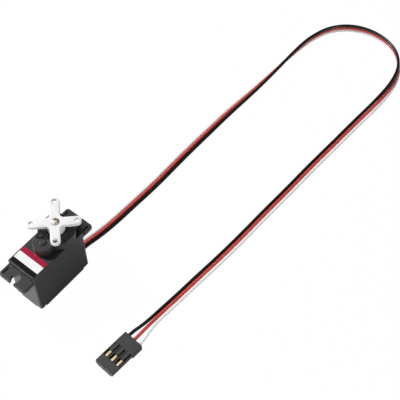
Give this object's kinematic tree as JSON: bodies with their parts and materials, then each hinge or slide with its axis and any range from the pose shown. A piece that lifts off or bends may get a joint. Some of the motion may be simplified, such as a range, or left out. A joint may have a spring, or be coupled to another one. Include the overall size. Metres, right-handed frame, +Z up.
{
  "type": "hobby servo motor",
  "caption": "Small boxed servo motor with mounting tabs, a geared output with a four-armed horn, and a flat three-wire lead ending in a crimp plug.",
  "frame": {"origin": "on the output axis, in the plane that the case stands on", "axes": "+Z up the output axis, +X towards the end that the lead leaves, +Y across the case"},
  "size_m": [0.1815, 0.0532, 0.0299],
  "materials": {
    "case_plastic": "satin moulded charcoal",
    "label_stock": "gloss laminated sticker in crimson, white and black stripes",
    "screw_steel": "zinc plated",
    "horn_screw_nickel": "nickel plated",
    "grommet_rubber": "matte",
    "bushing_brass": "turned",
    "pin_steel": "polished",
    "motor_steel": "drawn",
    "bell_plastic": "moulded",
    "magnet_ferrite": "sintered",
    "brush_copper": "rolled",
    "pot_plastic": "moulded",
    "track_carbon": "printed",
    "board_laminate": "solder mask",
    "chip_epoxy": "moulded",
    "passive_ceramic": "sintered",
    "solder_tin": "bright",
    "plug_plastic": "moulded",
    "contact_gold": "gold flashed",
    "wire_black": "soft vinyl",
    "wire_red": "soft vinyl",
    "wire_white": "soft vinyl",
    "winding_enamel": "enamelled copper",
    "gear_nylon": "moulded natural nylon",
    "horn_nylon": "moulded white nylon",
    "wiper_plastic": "moulded"
  },
  "bodies": {
    "case": {"bottom_lid": "case_plastic", "case_middle": "case_plastic", "gear_cover": "case_plastic", "label": "label_stock", "case_screws": "screw_steel", "lead_grommet": "grommet_rubber", "output_bushing": "bushing_brass", "idler_pin": "pin_steel", "cover_pin": "pin_steel", "motor_can": "motor_steel", "motor_front_bush": "bushing_brass", "motor_end_bell": "bell_plastic", "motor_magnets": "magnet_ferrite", "motor_brushes": "brush_copper", "motor_terminals": "brush_copper", "pot_body": "pot_plastic", "pot_track": "track_carbon", "pot_pins": "pin_steel", "control_board": "board_laminate", "board_chips": "chip_epoxy", "board_passives": "passive_ceramic", "solder_joints": "solder_tin", "plug_housing": "plug_plastic", "contact_black": "contact_gold", "contact_red": "contact_gold", "contact_white": "contact_gold", "lead_black": "wire_black", "lead_red": "wire_red", "lead_white": "wire_white"},
    "rotor": {"motor_pinion": "bushing_brass", "rotor_shaft": "pin_steel", "rotor_core": "motor_steel", "rotor_windings": "winding_enamel", "commutator": "brush_copper"},
    "idler_1": {"idler_gear_1": "gear_nylon"},
    "idler_2": {"idler_gear_2": "gear_nylon"},
    "idler_3": {"idler_gear_3": "gear_nylon"},
    "output": {"output_gear": "gear_nylon", "horn": "horn_nylon", "horn_screw": "horn_screw_nickel", "pot_wiper": "wiper_plastic"}
  },
  "joints": [
    {"name": "motor_spin", "type": "hinge", "parent": "case", "child": "rotor", "pos_m": [-0.0116, 0, 0.016], "axis": [0, 0, 1], "range_deg": [-12342.8, 12342.8]},
    {"name": "idler_1_spin", "type": "hinge", "parent": "case", "child": "idler_1", "pos_m": [-0.0066, 0, 0.016], "axis": [0, 0, 1], "range_deg": [-3090, 3090]},
    {"name": "idler_2_spin", "type": "hinge", "parent": "case", "child": "idler_2", "pos_m": [-0.0116, 0, 0.016], "axis": [0, 0, 1], "range_deg": [-775, 775]},
    {"name": "idler_3_spin", "type": "hinge", "parent": "case", "child": "idler_3", "pos_m": [-0.0066, 0, 0.016], "axis": [0, 0, 1], "range_deg": [-194, 194]},
    {"name": "output_turn", "type": "hinge", "parent": "case", "child": "output", "pos_m": [0, 0, 0.016], "axis": [0, 0, 1], "range_deg": [-90, 90]}
  ],
  "couplings": [
    {"joint": "idler_1_spin", "follows": "motor_spin", "ratio": -0.25},
    {"joint": "idler_2_spin", "follows": "motor_spin", "ratio": 0.0625},
    {"joint": "idler_3_spin", "follows": "motor_spin", "ratio": -0.015625},
    {"joint": "output_turn", "follows": "motor_spin", "ratio": 0.0072917}
  ]
}
